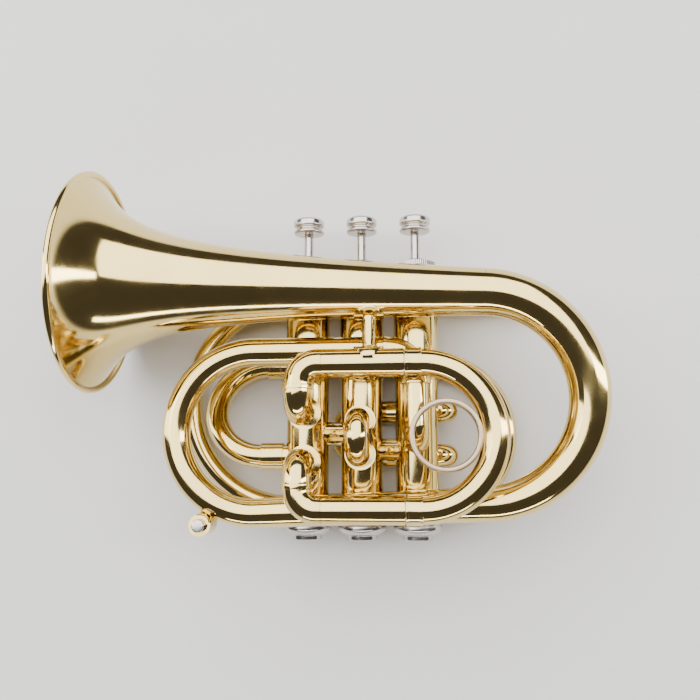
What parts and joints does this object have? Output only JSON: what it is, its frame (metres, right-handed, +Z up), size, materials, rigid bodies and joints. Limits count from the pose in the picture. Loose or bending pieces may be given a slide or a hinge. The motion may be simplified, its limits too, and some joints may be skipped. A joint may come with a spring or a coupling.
{
  "type": "pocket trumpet",
  "caption": "Pocket-size piston-valve trumpet with tightly wrapped tubing, flared bell, sliding tuning tubes, finger ring and push-button water key.",
  "frame": {"origin": "middle of the footprint, on the table that the instrument lies on", "axes": "+X from the bell mouth towards the player, +Y from the bottom caps towards the finger buttons, +Z up from the table"},
  "size_m": [0.2198, 0.157, 0.095],
  "materials": {
    "lacquered_brass": "polished and lacquered",
    "nickel_plate": "polished nickel plate",
    "nickel_silver": "smooth, oiled",
    "monel": "honed",
    "spring_steel": "plain wire",
    "pearl": "glossy mother-of-pearl",
    "felt": "pressed felt"
  },
  "bodies": {
    "horn": {"bell": "lacquered_brass", "bell_rim": "lacquered_brass", "bell_bow": "lacquered_brass", "bell_branch": "lacquered_brass", "branch_bow": "lacquered_brass", "branch_top": "lacquered_brass", "branch_elbow": "lacquered_brass", "bell_knuckle": "lacquered_brass", "tube_ferrules": "lacquered_brass", "port_collars": "lacquered_brass", "valve_links": "lacquered_brass", "cap_felts": "felt", "bell_brace": "lacquered_brass", "rear_braces": "lacquered_brass", "water_key_barrel": "lacquered_brass", "third_knuckles": "lacquered_brass", "third_outer_tubes": "lacquered_brass", "second_outer_tubes": "lacquered_brass", "first_elbows": "lacquered_brass", "first_outer_tubes": "lacquered_brass", "mouthpiece_receiver": "lacquered_brass", "leadpipe": "lacquered_brass", "leadpipe_bow": "lacquered_brass", "tuning_outer_tubes": "lacquered_brass", "return_bow": "lacquered_brass", "entry_tube": "lacquered_brass", "valve_casing_1": "lacquered_brass", "top_cap_1": "nickel_plate", "bottom_cap_1": "nickel_plate", "valve_spring_1": "spring_steel", "valve_casing_2": "lacquered_brass", "top_cap_2": "nickel_plate", "bottom_cap_2": "nickel_plate", "valve_spring_2": "spring_steel", "valve_casing_3": "lacquered_brass", "top_cap_3": "nickel_plate", "bottom_cap_3": "nickel_plate", "valve_spring_3": "spring_steel"},
    "valve_1": {"piston_1": "monel", "valve_stem_1": "nickel_plate", "finger_button_1": "nickel_plate", "button_pearl_1": "pearl"},
    "valve_2": {"piston_2": "monel", "valve_stem_2": "nickel_plate", "finger_button_2": "nickel_plate", "button_pearl_2": "pearl"},
    "valve_3": {"piston_3": "monel", "valve_stem_3": "nickel_plate", "finger_button_3": "nickel_plate", "button_pearl_3": "pearl"},
    "third_slide": {"third_inner_legs": "nickel_silver", "third_bow": "lacquered_brass", "finger_ring": "nickel_silver"},
    "second_slide": {"second_inner_legs": "nickel_silver", "second_bow": "lacquered_brass"},
    "first_slide": {"first_inner_legs": "nickel_silver", "first_bow": "lacquered_brass"},
    "tuning_slide": {"tuning_inner_legs": "nickel_silver", "tuning_bow": "lacquered_brass"},
    "water_key": {"water_key_plunger": "nickel_plate"}
  },
  "joints": [
    {"name": "valve_1_press", "type": "slide", "parent": "horn", "child": "valve_1", "axis": [0, -1, 0], "range_m": [0, 0.012], "stiffness_N_per_m": 120, "springref_m": -0.012, "deforming": ["valve_spring_1"]},
    {"name": "valve_2_press", "type": "slide", "parent": "horn", "child": "valve_2", "axis": [0, -1, 0], "range_m": [0, 0.012], "stiffness_N_per_m": 120, "springref_m": -0.012, "deforming": ["valve_spring_2"]},
    {"name": "valve_3_press", "type": "slide", "parent": "horn", "child": "valve_3", "axis": [0, -1, 0], "range_m": [0, 0.012], "stiffness_N_per_m": 120, "springref_m": -0.012, "deforming": ["valve_spring_3"]},
    {"name": "third_slide_pull", "type": "slide", "parent": "horn", "child": "third_slide", "axis": [1, 0, 0], "range_m": [0, 0.016]},
    {"name": "second_slide_pull", "type": "slide", "parent": "horn", "child": "second_slide", "axis": [0, 0, 1], "range_m": [0, 0.006]},
    {"name": "first_slide_pull", "type": "slide", "parent": "horn", "child": "first_slide", "axis": [-1, 0, 0], "range_m": [0, 0.012]},
    {"name": "tuning_slide_pull", "type": "slide", "parent": "horn", "child": "tuning_slide", "axis": [1, 0, 0], "range_m": [0, 0.018]},
    {"name": "water_key_press", "type": "slide", "parent": "horn", "child": "water_key", "axis": [0, 0, -1], "range_m": [0, 0.0025], "stiffness_N_per_m": 300, "springref_m": -0.005}
  ]
}
